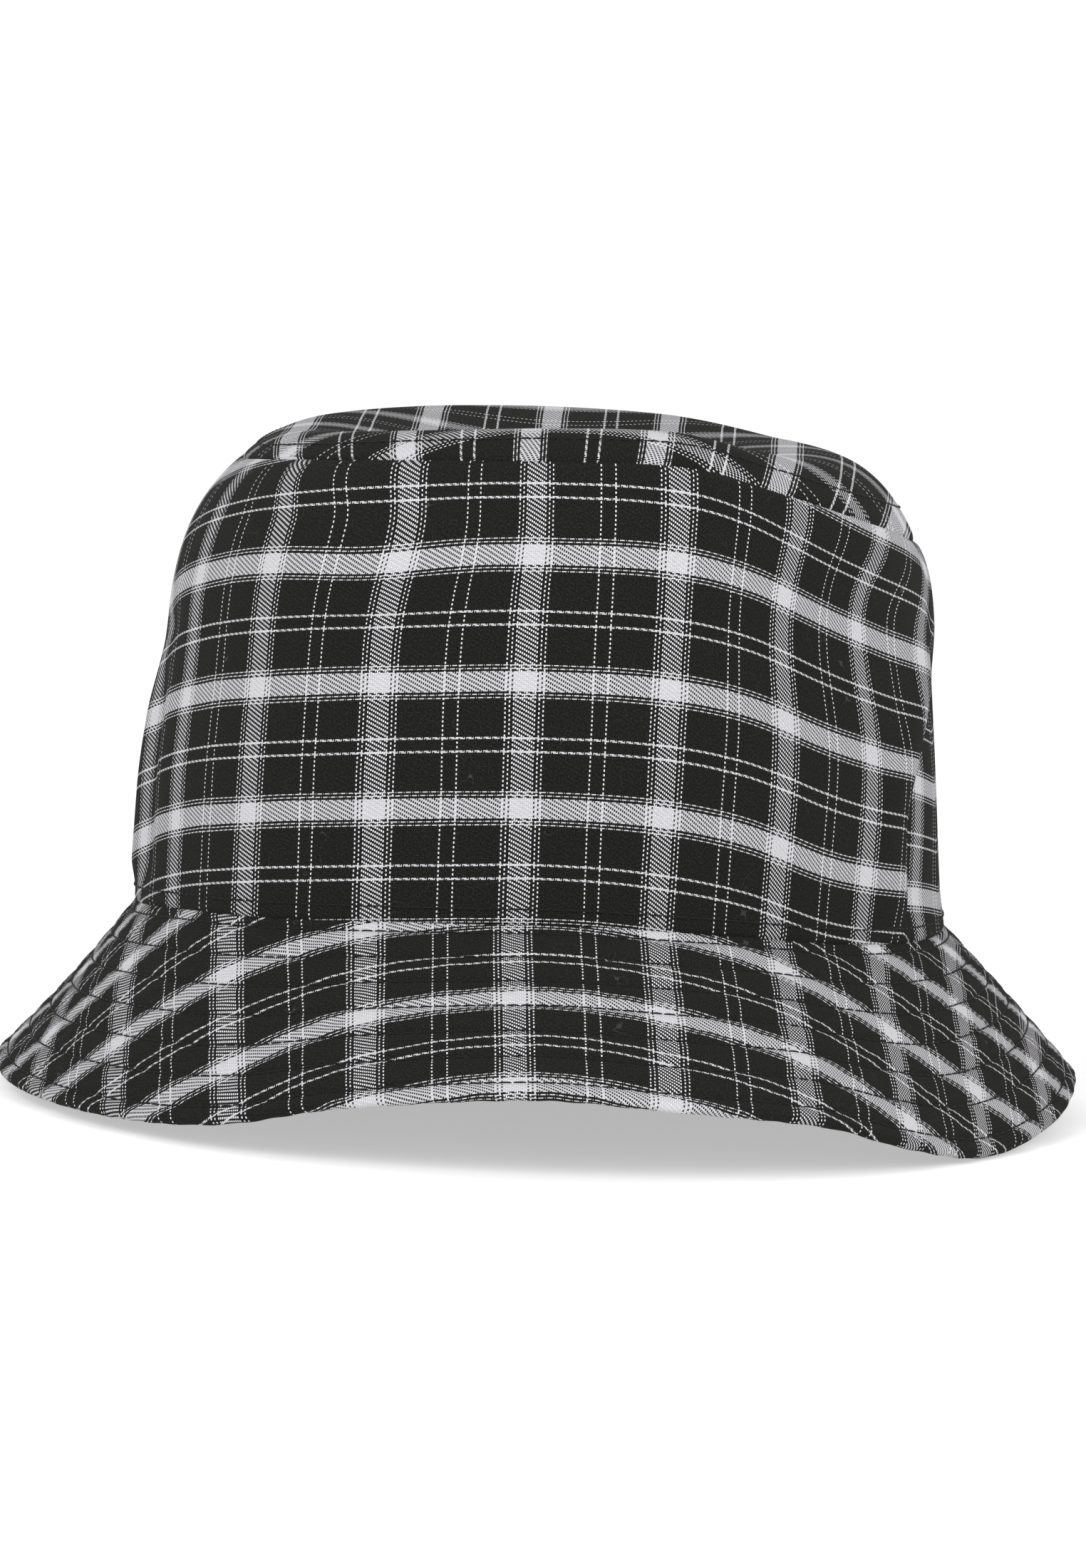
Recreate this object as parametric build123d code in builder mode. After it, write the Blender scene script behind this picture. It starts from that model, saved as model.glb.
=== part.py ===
from build123d import *
from math import cos, hypot, radians, sin
import os

# A plaid bucket hat standing on its brim. Millimetres, +Z up. The front faces -Y and +X is the right
# side as seen from the front. The origin is on the ground under the middle of the crown.
# Angles go round the vertical axis from +X, so the front is at 270 degrees.

# Layers
cloth = 0.8
stiffener = 0.5
tape = 0.4
band = 0.7
thread = 0.35
gap = 0.08

# Crown: an oval that narrows upwards. Its two seams are saddles, higher at the front and the back.
base_half_width = 88.5
base_half_length = 101.0
crown_inset = 12.8
base_side_z = 40.2
base_front_z = 47.2
top_side_z = 131.7
top_front_z = 143.2
tip_crown = 6.8
tip_overhang = 0.25

# Brim: a sloping ring whose edge dips to four feet between the sides and the front and back
brim_side_reach = 30.5
brim_front_reach = 41.5
edge_mean_z = 6.2
edge_side_drop = 3.9
edge_wave = 4.2
side_bulge = 6.5
front_bulge = 1.5
seam_allowance = 8.0
turned_edge = 1.4

# Stitching
row_count = 7
row_pitch = 8.0
first_row = 2.2
thread_clearance = 0.15
tip_topstitch_inset = 4.6
base_topstitch_height = 3.4
sweatband_stitch_height = 3.0

# Inner trim
sweatband_gap = 1.0
sweatband_height = 32.0
tape_width = 12.0
tip_tape_low = 0.87
tip_tape_high = 0.97
label_width = 22.0
label_height = 28.0
label_thickness = 0.3
label_fold = 0.5
label_z = 77.0
label_lean = 9.0
label_clearance = 0.3

# Depths through the layers, from the outside inwards
wall_inside = cloth
top_flange = (wall_inside + gap, wall_inside + gap + cloth)
under_flange = (top_flange[1] + gap, top_flange[1] + gap + cloth)
sweatband_layer = (under_flange[1] + 3 * gap, under_flange[1] + 3 * gap + band)
brim_top_layer = (2 * gap, 2 * gap + cloth)
stiffener_layer = (brim_top_layer[1] + gap, brim_top_layer[1] + gap + stiffener)
brim_under_layer = (stiffener_layer[1] + gap, stiffener_layer[1] + gap + cloth)
tip_tape_layer = (wall_inside + gap, wall_inside + gap + tape)
side_tape_layer = (wall_inside + 3 * gap, wall_inside + 3 * gap + tape)

tip_half_width = base_half_width - crown_inset + tip_overhang
tip_half_length = base_half_length - crown_inset + tip_overhang
front_angles = range(180, 361, 15)
back_angles = range(0, 181, 15)


def radial_plane(angle):
    """The vertical plane through the hat's axis at this angle: x points outwards and y points up."""
    outward = Vector(1, 0, 0).rotate(Axis.Z, angle)
    return Plane(origin=(0, 0, 0), x_dir=outward, z_dir=outward.rotate(Axis.Z, -90))


def oval(half_width, half_length, angle):
    """The distance from the axis to an oval in this direction."""
    c, s = cos(radians(angle)), sin(radians(angle))
    return half_width * half_length / hypot(half_length * c, half_width * s)


def side_to_front(side, front, angle):
    """A value that runs smoothly from the sides of the oval to its front and back."""
    forward = oval(base_half_width, base_half_length, angle) * sin(radians(angle)) / base_half_length
    return side + (front - side) * forward**2


def wall_height(angle):
    """How far the tip seam stands above the brim seam."""
    return side_to_front(top_side_z - base_side_z, top_front_z - base_front_z, angle)


def level_at(angle, height):
    """The level of a point this far above the brim seam."""
    return height / wall_height(angle)


def crown_point(angle, level, depth):
    """A point of the crown's wall: level 0 is the brim seam and 1 the tip seam, depth goes inwards."""
    base_r = oval(base_half_width, base_half_length, angle)
    inset = crown_inset * (0.5 * level + 0.5 * level**8)
    low = side_to_front(base_side_z, base_front_z, angle)
    return base_r - inset - depth, low + wall_height(angle) * level


def tip_height(x, y):
    """The height of the tip's upper surface, which is domed and falls away to the sides."""
    across = (x / tip_half_width) ** 2
    along = (y / tip_half_length) ** 2
    return top_front_z - (top_front_z - top_side_z) * across + tip_crown * (1 - across - along)


def brim_edge(angle):
    """The brim's outer edge."""
    r = oval(base_half_width + brim_side_reach, base_half_length + brim_front_reach, angle)
    twice = 2 * radians(angle - 270)
    return r, edge_mean_z + edge_side_drop * cos(twice) + edge_wave * cos(2 * twice)


def brim_point(angle, along, depth):
    """A point of the brim: along 0 is the crown seam and 1 the edge, depth goes down through it."""
    seam_r, seam_z = crown_point(angle, 0, 0)
    edge_r, edge_z = brim_edge(angle)
    run, fall = edge_r - seam_r, seam_z - edge_z
    slant = hypot(run, fall)
    lift = 4 * along * (1 - along) * side_to_front(side_bulge, front_bulge, angle) - depth
    return seam_r + run * along + fall / slant * lift, seam_z - fall * along + run / slant * lift


def wall_cut(angle, low, high, layer):
    """The cut through one layer of the crown's wall, from level low to level high."""
    levels = [low + (high - low) * step / 8 for step in range(9)]
    outside, inside = ([crown_point(angle, level, depth) for level in levels] for depth in layer)
    with BuildSketch(radial_plane(angle)) as cut:
        with BuildLine():
            Spline(*outside)
            Spline(*inside)
            Line(outside[0], inside[0])
            Line(outside[-1], inside[-1])
        make_face()
    return cut.sketch


def brim_arc(angle, end, depth):
    """Three points that a layer of the brim passes through, from the crown seam outwards."""
    return [brim_point(angle, along, depth) for along in (0, end / 2, end)]


def brim_cut(angle, layer, flange, edge):
    """The cut through one cloth of the brim. Its seam allowance turns up inside the crown, and edge
    lists the places and depths that it passes at its outer end."""
    top = brim_arc(angle, edge[0][0], layer[0])
    under = brim_arc(angle, edge[-1][0], layer[1])
    low = [crown_point(angle, 0, depth)[0] for depth in flange]
    high = [crown_point(angle, level_at(angle, seam_allowance), depth) for depth in flange]
    with BuildSketch(radial_plane(angle)) as cut:
        with BuildLine():
            ThreePointArc(*top)
            ThreePointArc(*under)
            Polyline(*[brim_point(angle, along, depth) for along, depth in edge])
            Polyline(top[0], (low[0], top[0][1]), high[0], high[1], (low[1], under[0][1]), under[0])
        make_face()
    return cut.sketch


def stiffener_cut(angle):
    """The cut through the brim's interlining, which stops at the seam and short of the edge."""
    top, under = (brim_arc(angle, tucked_end, depth) for depth in stiffener_layer)
    with BuildSketch(radial_plane(angle)) as cut:
        with BuildLine():
            ThreePointArc(*top)
            ThreePointArc(*under)
            Line(top[0], under[0])
            Line(top[-1], under[-1])
        make_face()
    return cut.sketch


def thread_cut(angle, point):
    """The cut through one run of thread that lies along a seam."""
    with BuildSketch(radial_plane(angle)) as cut:
        with Locations(point):
            RegularPolygon(thread / 2, 6)
    return cut.sketch


def tip_cut(y):
    """The cut across the tip at this distance from the middle, wider than the tip itself."""
    reach = 1.05 * tip_half_width
    crest, foot = tip_height(0, y), tip_height(reach, y)
    with BuildSketch(Plane.XZ.offset(-y)) as cut:
        with BuildLine():
            for depth in (0, cloth):
                Bezier((-reach, foot - depth), (0, 2 * crest - foot - depth), (reach, foot - depth))
            Line((-reach, foot), (-reach, foot - cloth))
            Line((reach, foot), (reach, foot - cloth))
        make_face()
    return cut.sketch


def write(part, name):
    part.label = name
    export_step(part, f"parts/{name}.step")


brim_slant = hypot(brim_front_reach, base_front_z - brim_edge(270)[1])
turned_from = 1 - turned_edge / brim_slant
tucked_end = turned_from - 2 * gap / brim_slant
brim_depth = brim_under_layer[1]
on_surface = -thread / 2 - thread_clearance
os.makedirs("parts", exist_ok=True)

# Crown ------------------------------------------------------------------------------------------------

with BuildPart() as crown_tip:
    loft(sections=[tip_cut(1.05 * tip_half_length * step) for step in (-1, -0.5, 0, 0.5, 1)])
    with BuildSketch(Plane.XY):
        Ellipse(tip_half_width, tip_half_length)
    extrude(amount=2 * top_front_z, mode=Mode.INTERSECT)
write(crown_tip.part, "crown_tip")

for place, angles in (("front", front_angles), ("back", back_angles)):
    with BuildPart() as crown_side:
        loft(sections=[wall_cut(angle, 0, 1 - level_at(angle, cloth + 4 * gap), (0, wall_inside))
                       for angle in angles])
    write(crown_side.part, f"crown_side_{place}")

# Brim -------------------------------------------------------------------------------------------------

turned_over = [(1, brim_top_layer[0]), (1, brim_depth), (turned_from, brim_depth),
               (turned_from, brim_top_layer[1])]
tucked_in = [(tucked_end, depth) for depth in brim_under_layer]

for place, angles in (("front", front_angles), ("back", back_angles)):
    with BuildPart() as brim_top:
        loft(sections=[brim_cut(angle, brim_top_layer, top_flange, turned_over) for angle in angles])
    write(brim_top.part, f"brim_top_{place}")

    with BuildPart() as brim_under:
        loft(sections=[brim_cut(angle, brim_under_layer, under_flange, tucked_in) for angle in angles])
    write(brim_under.part, f"brim_under_{place}")

    with BuildPart() as brim_stiffener:
        loft(sections=[stiffener_cut(angle) for angle in angles])
    write(brim_stiffener.part, f"brim_stiffener_{place}")

# Inner trim -------------------------------------------------------------------------------------------

with BuildPart() as sweatband:
    for angles in (front_angles, back_angles):
        loft(sections=[wall_cut(angle, level_at(angle, sweatband_gap),
                                level_at(angle, sweatband_gap + sweatband_height), sweatband_layer)
                       for angle in angles])
write(sweatband.part, "sweatband")

with BuildPart() as tip_seam_tape:
    for angles in (front_angles, back_angles):
        loft(sections=[wall_cut(angle, tip_tape_low, tip_tape_high, tip_tape_layer) for angle in angles])
write(tip_seam_tape.part, "tip_seam_tape")

for place, middle in (("right", 0), ("left", 180)):
    half_angle = tape_width / 2 / radians(base_half_width)
    with BuildPart() as seam_tape:
        loft(sections=[wall_cut(angle, level_at(angle, sweatband_gap + sweatband_height + 1),
                                tip_tape_low - 0.01, side_tape_layer)
                       for angle in (middle - half_angle, middle, middle + half_angle)])
    write(seam_tape.part, f"{place}_seam_tape")

# The label is sewn into the right side seam by its folded edge, and swings about it like a page.
label_top_level = (label_z + label_height - base_side_z) / wall_height(0)
label_x = crown_point(0, label_top_level, side_tape_layer[1])[0] - label_clearance - label_fold
flap_direction = (-sin(radians(label_lean)), cos(radians(label_lean)), 0)
with BuildPart() as care_label:
    with BuildSketch(Plane(origin=(label_x, 0, label_z), x_dir=flap_direction, z_dir=(0, 0, 1))):
        Circle(label_fold)
        with Locations((label_width / 2, 0)):
            Rectangle(label_width, label_thickness)
    extrude(amount=label_height)
write(care_label.part, "care_label")

# Thread -----------------------------------------------------------------------------------------------


def tip_row(angle):
    """Where the tip's topstitching lies, just inside the tip seam."""
    r = oval(tip_half_width, tip_half_length, angle) - tip_topstitch_inset
    c, s = cos(radians(angle)), sin(radians(angle))
    return r, tip_height(r * c, r * s) + thread


def base_row(angle):
    """Where the crown's topstitching lies, just above the brim seam."""
    return crown_point(angle, level_at(angle, base_topstitch_height), on_surface)


def band_row(angle):
    """Where the stitching through the sweatband shows, on its inner face."""
    height = sweatband_gap + sweatband_stitch_height
    return crown_point(angle, level_at(angle, height), sweatband_layer[1] - on_surface)


for name, row in (("tip_topstitch", tip_row), ("crown_base_topstitch", base_row),
                  ("sweatband_stitch", band_row)):
    with BuildPart() as stitching:
        for angles in (front_angles, back_angles):
            loft(sections=[thread_cut(angle, row(angle)) for angle in angles])
    write(stitching.part, name)

# Each row through the brim has its needle thread on the upper cloth and its bobbin thread beneath.
for row in range(row_count):
    along = (first_row + row_pitch * row) / brim_slant
    with BuildPart() as stitching:
        for depth in (brim_top_layer[0] + on_surface, brim_under_layer[1] - on_surface):
            for angles in (front_angles, back_angles):
                loft(sections=[thread_cut(angle, brim_point(angle, along, depth)) for angle in angles])
    write(stitching.part, f"brim_stitch_row_{row + 1}")
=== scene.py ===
# A soft bucket hat in a black and white plaid twill. Each CAD node is replaced by its cloth or its
# thread. Shapes are worked out in millimetres and become metres when a mesh is made. Angles go round
# the hat in degrees: 0 is the front (-Y), 90 the right (+X), 180 the back, 270 the left.
from math import cos, pi, radians, sin

import bpy
import numpy as np
from mathutils import Matrix, Vector


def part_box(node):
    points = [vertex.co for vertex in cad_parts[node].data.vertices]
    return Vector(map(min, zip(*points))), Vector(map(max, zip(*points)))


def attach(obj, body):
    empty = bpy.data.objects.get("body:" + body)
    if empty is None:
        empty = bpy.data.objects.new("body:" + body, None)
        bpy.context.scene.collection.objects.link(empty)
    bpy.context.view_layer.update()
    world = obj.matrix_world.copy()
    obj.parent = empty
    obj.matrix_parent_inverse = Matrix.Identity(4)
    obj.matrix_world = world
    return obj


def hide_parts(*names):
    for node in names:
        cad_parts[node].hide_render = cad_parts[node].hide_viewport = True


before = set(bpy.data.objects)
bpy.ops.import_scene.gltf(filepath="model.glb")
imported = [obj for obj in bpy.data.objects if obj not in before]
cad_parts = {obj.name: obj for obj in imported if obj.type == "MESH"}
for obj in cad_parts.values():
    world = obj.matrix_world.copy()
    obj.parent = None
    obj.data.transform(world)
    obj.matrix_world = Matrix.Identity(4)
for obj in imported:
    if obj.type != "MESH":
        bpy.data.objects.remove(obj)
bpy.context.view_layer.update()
MM = 0.001

# Sizes from the frame, in millimetres ------------------------------------------------------------------


def corner(node, side, axis):
    """One coordinate of a CAD node's box; side 0 is its lowest corner and 1 its highest."""
    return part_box(node)[side][axis] / MM


HALF_WIDTH = corner("crown_side_front", 1, 0)
HALF_LENGTH = -corner("crown_side_front", 0, 1)
EDGE_HALF_WIDTH = corner("brim_top_front", 1, 0)
EDGE_HALF_LENGTH = -corner("brim_top_front", 0, 1)
# The label's folded edge is round, and LABEL_X is the middle of it.
LABEL_FOLD = 0.5
LABEL_X = corner("care_label", 1, 0) - LABEL_FOLD
LABEL_LOW = corner("care_label", 0, 2)
LABEL_HIGH = corner("care_label", 1, 2)

# Thicknesses of the layers, and the room between two of them
CLOTH = 0.8
STIFFENER = 0.5
TAPE = 0.4
BAND = 0.7
GAP = 0.08
THREAD = 0.36

# The brim's edge is a roll that stands out past its line, whose upper face lies EDGE_RISE above the
# heights in EDGE_Z. The sides sit EDGE_SHIFT to the right, and the left reaches out a little further.
EDGE_ROLL = 1.2
EDGE_RISE = 1.6 * EDGE_ROLL
EDGE_SHIFT = 1.5
EDGE_FULLER = 0.012

# Lengths along the cloth
WALL_HEIGHT = 98.0
SLANT = 53.0
SEAM_ALLOWANCE = 8.0
ALLOWANCE_START = 0.15
HEM = 1.6
HEM_START = 0.4
TIP_ALLOWANCE = 2.4
TIP_ALLOWANCE_START = 0.3
TIP_BEND = 0.5
BAND_HEIGHT = 32.0
ROW_PITCH = 8
FIRST_ROW = 2.2
ROWS = [FIRST_ROW + ROW_PITCH * row for row in range(7)]

# Beside a seam the cloth rolls in over this length: by BASE_TUCK at the brim seam, SEAM_TUCK at the tip's
SEAM_ROLL = 1.2
BASE_TUCK = 0.5
SEAM_TUCK = 0.7

# The stitching pulls a groove into the brim at each row, and small puckers stand between. The felt
# follows a share of that, and the lower cloth is pulled up towards it by a share.
GROOVE_WIDTH = 0.9
GROOVE_DEPTH = 0.42
PUCKER = 0.12
FELT_FOLLOWS = 0.5
UNDER_PULLED = 0.8

# How far the crown leans in towards its tip
TOP_INSET_RIGHT = 9.0
TOP_INSET_LEFT = 19.5
TOP_INSET_FRONT = 12.5

# The soft shape, as (degrees, value) stops round the hat: the heights of the seams and the edge, how much
# wider the brim seam is than its oval, how far the brim bulges, and the soft rim round the tip
BASE_Z = [(0, 47.3), (25, 45.6), (50, 42.0), (72, 40.2), (90, 40.4), (135, 43.7), (180, 46.7),
          (225, 43.7), (270, 40.0), (310, 44.0)]
BASE_SWELL = [(0, -0.01), (25, -0.03), (50, -0.035), (72, -0.005), (90, 0.012), (135, 0), (180, 0),
              (225, 0), (270, 0), (300, 0.03), (320, 0.055), (340, 0.02)]
TOP_Z = [(0, 143.1), (21, 142.6), (38, 137.2), (60, 130.4), (90, 124.8), (125, 129.0), (160, 138.0),
         (200, 141.2), (240, 140.5), (270, 137.4), (292, 138.6), (315, 140.4), (332, 141.7)]
EDGE_Z = [(0, 16.2), (15, 14.2), (31, 10.4), (42, 4.4), (54, 0.4), (70, 3.3), (90, 8.0), (125, 3.0),
          (150, 3.0), (180, 12.0), (215, 3.0), (240, 2.0), (270, 4.4), (285, 2.7), (310, 2.6),
          (326, 5.2), (340, 11.6)]
BRIM_LIFT = [(0, 0.7), (45, 0.8), (90, 0.3), (135, 1.5), (180, 2.0), (225, 0.8), (270, -0.9), (315, 0.4)]
TIP_MIDDLE_Z = 136.5
TIP_RIM = [(0, 8.2), (45, 9.4), (90, 13.4), (135, 11.8), (180, 9.2), (225, 7.6), (270, 7.2), (315, 7.2)]
TIP_RIM_REACH = [(0, 0.15), (90, 0.24), (180, 0.2), (270, 0.26)]

# Creases and dents, in millimetres
FOLD_RIDGE = 1.2
FOLD_DEPTH = 2.8
CRUSH_RIDGE = 1.3
CRUSH_DEPTH = 1.5
DENT_DEPTH = 1.4

# Surfaces ----------------------------------------------------------------------------------------------


def around(stops, p):
    """A smooth value round the hat through (degrees, value) stops, the first of them at 0."""
    at, value = (np.array(column, float) for column in zip(*stops))
    at = np.concatenate([at[-2:] - 360, at, at[:2] + 360])
    value = np.concatenate([value[-2:], value, value[:2]])
    slope = np.zeros_like(value)
    slope[1:-1] = (value[2:] - value[:-2]) / (at[2:] - at[:-2])
    p = np.mod(p, 360)
    k = np.searchsorted(at, p, side="right") - 1
    span = at[k + 1] - at[k]
    t = (p - at[k]) / span
    rise = t * (1 - t) * span * ((1 - t) * slope[k] - t * slope[k + 1])
    return value[k] + (value[k + 1] - value[k]) * t * t * (3 - 2 * t) + rise


def step(x, low, high):
    """0 below low, 1 above high, smooth in between."""
    t = np.clip((x - low) / (high - low), 0, 1)
    return t * t * (3 - 2 * t)


def hump(x, middle, width):
    """1 at the middle, and fading to nothing about two widths away."""
    return np.exp(-(((x - middle) / width) ** 2))


def turned(p):
    """Degrees from -180 to 180."""
    return np.mod(p + 180, 360) - 180


def base(p):
    """The seam between crown and brim."""
    r = np.radians(p)
    swell = 1 + around(BASE_SWELL, p)
    return np.stack([HALF_WIDTH * np.sin(r) * swell, -HALF_LENGTH * np.cos(r) * swell, around(BASE_Z, p)], -1)


def top(p):
    """The seam between crown and tip."""
    r = np.radians(p)
    inset = np.where(np.sin(r) > 0, TOP_INSET_RIGHT, TOP_INSET_LEFT)
    return np.stack([(HALF_WIDTH - inset) * np.sin(r), -(HALF_LENGTH - TOP_INSET_FRONT) * np.cos(r),
                     around(TOP_Z, p)], -1)


def edge(p):
    """The outer edge of the brim."""
    r = np.radians(p)
    reach = 1 - EDGE_ROLL / EDGE_HALF_LENGTH
    fuller = 1 + EDGE_FULLER * hump(turned(p), -74, 14)
    return np.stack([EDGE_SHIFT * np.abs(np.sin(r)) + EDGE_HALF_WIDTH * reach * np.sin(r) * fuller,
                     -EDGE_HALF_LENGTH * reach * np.cos(r), around(EDGE_Z, p) + EDGE_RISE], -1)


def outward(p):
    """The level direction away from the crown."""
    r = np.radians(p)
    n = np.stack([np.sin(r) / HALF_WIDTH, -np.cos(r) / HALF_LENGTH, 0 * r], -1)
    return n / np.linalg.norm(n, axis=-1, keepdims=True)


def fold_line(t):
    """The angle of the long fold down the right of the crown."""
    return 66 + 12 * step(t, 0.25, 0.7)


def folds(p, t):
    """How far the crown's wall stands out or in, where the cloth is creased and dented."""
    q = turned(p)
    past = q - fold_line(t)
    held = step(t, 0.0, 0.12) * (1 - step(t, 0.62, 0.8))
    depth = FOLD_RIDGE * hump(past, -4, 5) * held
    depth -= FOLD_DEPTH * step(past, -0.6, 0.9) * np.exp(-np.clip(past, 0, None) / 11) * held
    # The left side is softly crushed low down, with one short dent above it.
    crushed = step(t, 0.02, 0.1) * (1 - step(t, 0.42, 0.6))
    depth += (CRUSH_RIDGE * hump(q, -84, 5) - CRUSH_DEPTH * hump(q, -72 - 10 * t, 4)) * crushed
    depth -= DENT_DEPTH * hump(q, -78, 6) * hump(t, 0.62, 0.05)
    return depth


def lean(p, t):
    """How far the wall has leaned in at this height, from 0 at the brim seam to 1 at the tip seam. The
    left leans in late, the right early, and the front and the back evenly with a rounded shoulder."""
    s = np.sin(np.radians(p))
    left, right = np.clip(-s, 0, 1) ** 2, np.clip(s, 0, 1) ** 2
    return (left * (0.18 * t + 0.12 * step(t, 0.25, 0.62) + 0.7 * t**8)
            + right * (0.6 * t**0.75 + 0.4 * t**14) + (1 - left - right) * (0.5 * t + 0.5 * t**8))


def wall(p, t):
    """The outer face of the crown's wall: t is 0 at the brim seam and 1 at the tip seam."""
    p, t = np.broadcast_arrays(np.asarray(p, float), np.asarray(t, float))
    low, high = base(p), top(p)
    xy = low[..., :2] + (high - low)[..., :2] * lean(p, t)[..., None]
    z = low[..., 2] + (high - low)[..., 2] * t
    return np.concatenate([xy, z[..., None]], -1) + outward(p) * folds(p, t)[..., None]


def brim(p, t):
    """The brim's upper face before it is stitched: t is 0 at the crown seam and 1 at the edge."""
    p, t = np.broadcast_arrays(np.asarray(p, float), np.asarray(t, float))
    start, chord = base(p), edge(p) - base(p)
    run = np.hypot(chord[..., 0], chord[..., 1])
    length = np.hypot(run, chord[..., 2])
    out = chord[..., :2] / run[..., None]
    lift = 4 * t * (1 - t) * around(BRIM_LIFT, p)
    xy = start[..., :2] + chord[..., :2] * t[..., None] - out * (chord[..., 2] / length * lift)[..., None]
    z = start[..., 2] + chord[..., 2] * t + run / length * lift
    return np.concatenate([xy, z[..., None]], -1)


def tip(p, rho):
    """The tip's outer face: rho is 0 in the middle and 1 at the tip seam. A soft rim stands round it."""
    p, rho = np.broadcast_arrays(np.asarray(p, float), np.asarray(rho, float))
    seam = top(p)
    x = (1 - rho) / around(TIP_RIM_REACH, p)
    rim = around(TIP_RIM, p) * x * np.exp(1 - x) * step(rho, 0, 0.3)
    z = TIP_MIDDLE_Z + (seam[..., 2] - TIP_MIDDLE_Z) * rho**2 + rim
    return np.concatenate([seam[..., :2] * rho[..., None], z[..., None]], -1)


ROUND = np.linspace(-180, 540, 2881)
STEPS = np.linalg.norm(np.diff(base(ROUND)[:, :2], axis=0), axis=1)
LENGTHS = np.concatenate([[0], np.cumsum(STEPS)])
LENGTHS -= np.interp(0, ROUND, LENGTHS)


def seam_length(p):
    """The length along the brim seam from the front to this angle."""
    return np.interp(p, ROUND, LENGTHS)


# How the cloth was cut ---------------------------------------------------------------------------------
# Every panel lies in its own cloth: u runs across the upright yarns and v along them. Drift, sag, pull
# and drop say how many millimetres the cloth is shifted where it is stretched or creased. A list gives
# them round the hat, as (degrees, value) stops.
WALL_CUT_RADIUS = 717.0
BRIM_CUT_RADIUS = 124.0
# The plaid's repeat across and along the cloth, and where the middle of one white stripe lies in u and
# of one white band in v. u is 0 in a panel's middle, and v is 0 at the brim seam there.
STRIPE_PITCH = 29.9
BAND_PITCH = 26.9
STRIPE_AT = -5.0
WALL_BAND_AT = 23.9
BRIM_BAND_AT = -24.2
# The wall's drift at the brim seam; DRIFT_FADE is the share of it that is gone at the tip seam.
DRIFT_FADE = 0.75
WALL_DRIFT = [(0, -0.9), (20, -0.5), (45, 0.8), (65, 2.4), (80, 2.4), (110, 0), (180, 0), (255, 0),
              (285, 2.5), (315, 2.2), (340, 0.2)]
WALL_SAG = [(0, -0.9), (30, -0.4), (45, 1.6), (60, 1.8), (75, 0.6), (110, 0), (180, 0), (240, -1.0),
            (290, -2.2), (320, -1.4), (340, -0.9)]
# Past the long fold the bands lie lower by this much.
FOLD_DROP = 3.2
# The brim's drift, beside the crown and at the edge
BRIM_DRIFT_IN = [(0, 0), (16, -0.8), (36, 0.5), (56, 3.0), (75, 5.5), (90, 0), (130, 0), (180, 0),
                 (230, 0), (270, 0), (298, 8.0), (318, 3.0), (339, 0.8)]
BRIM_DRIFT_OUT = [(0, -2.0), (12, -5.0), (26, -7.0), (42, -4.0), (60, 7.0), (78, 8.0), (92, 0),
                  (130, 0), (180, 0), (230, 0), (270, 0), (292, 10.0), (314, 11.0), (330, 5.5),
                  (343, 2.4)]


def pull(q, t):
    """The front of the crown's shift in u: q is the angle and t the share of the wall's height."""
    right = 10 * hump(t, 0.7, 0.18) * step(q, 15, 60) + 6 * hump(t, 0.82, 0.11) * hump(q, 58, 14)
    left = 7 * step(t, 0.86, 1) * hump(q, -50, 20) - 3.5 * hump(t, 0.86, 0.16) * hump(q, -22, 18)
    return right + left


def drop(q, t):
    """The front of the crown's shift in v: q is the angle and t the share of the wall's height."""
    waves = 1.6 * hump(q, -29, 12) * hump(t, 0.78, 0.1) + 1.8 * hump(q, 45, 22) * (1 - step(t, 0.1, 0.4))
    return waves + FOLD_DROP * step(q - fold_line(t), -1.5, 2.5) * (1 - step(q, 84, 90))


def wall_cloth(p, t, middle):
    """Where a point of the wall lies in its panel's cloth; middle is the angle of the panel's middle."""
    a = (seam_length(p) - seam_length(middle)) / WALL_CUT_RADIUS
    r = WALL_CUT_RADIUS - WALL_HEIGHT * t
    q = turned(p)
    creased = middle == 0
    u = r * np.sin(a) + around(WALL_DRIFT, p) * (1 - DRIFT_FADE * t) + pull(q, t) * creased
    v = WALL_CUT_RADIUS - r * np.cos(a) + around(WALL_SAG, p) + drop(q, t) * creased
    return np.stack([u, v], -1)


def brim_cloth(p, t, middle):
    """Where a point of the brim lies in its panel's cloth. Only the front panel drifts."""
    a = (seam_length(p) - seam_length(middle)) / BRIM_CUT_RADIUS
    r = BRIM_CUT_RADIUS + SLANT * t
    drift = around(BRIM_DRIFT_IN, p) * (1 - t) + around(BRIM_DRIFT_OUT, p) * t
    return np.stack([r * np.sin(a) + drift * (middle == 0), BRIM_CUT_RADIUS - r * np.cos(a)], -1)


# The tip's u and v are both 0 in its middle. TIP_TURN is how far its cloth is turned, in radians.
TIP_STRIPE_AT = -79.0
TIP_BAND_AT = -3.0
TIP_TURN = 0.03
# How much of the rim's rise the tip's cloth follows, as (degrees, share) stops
TIP_FOLLOW = [(0, 0.95), (40, 0.8), (75, 0.45), (120, 0.4), (180, 0.4), (240, 0.4), (285, 0.5), (320, 0.85)]


def tip_cloth(points, p):
    """The tip is cut with its upright yarns running from side to side, so u runs to the back. The cloth
    is eased in round the sides and the back, so there it follows only part of the rim's rise."""
    steps = np.linalg.norm(np.diff(points[:, ::-1], axis=1), axis=2)
    reach = np.concatenate([np.zeros((len(points), 1)), np.cumsum(steps, 1)], 1)[:, ::-1]
    straight = np.linalg.norm(points[..., :2], axis=-1)
    reach = straight + (reach - straight + straight[:, -1:]) * around(TIP_FOLLOW, p[:, :1])
    flat = points[..., :2] / straight[..., None] * reach[..., None]
    return np.stack([flat[..., 1] + TIP_TURN * flat[..., 0], flat[..., 0] - TIP_TURN * flat[..., 1]], -1)


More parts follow.
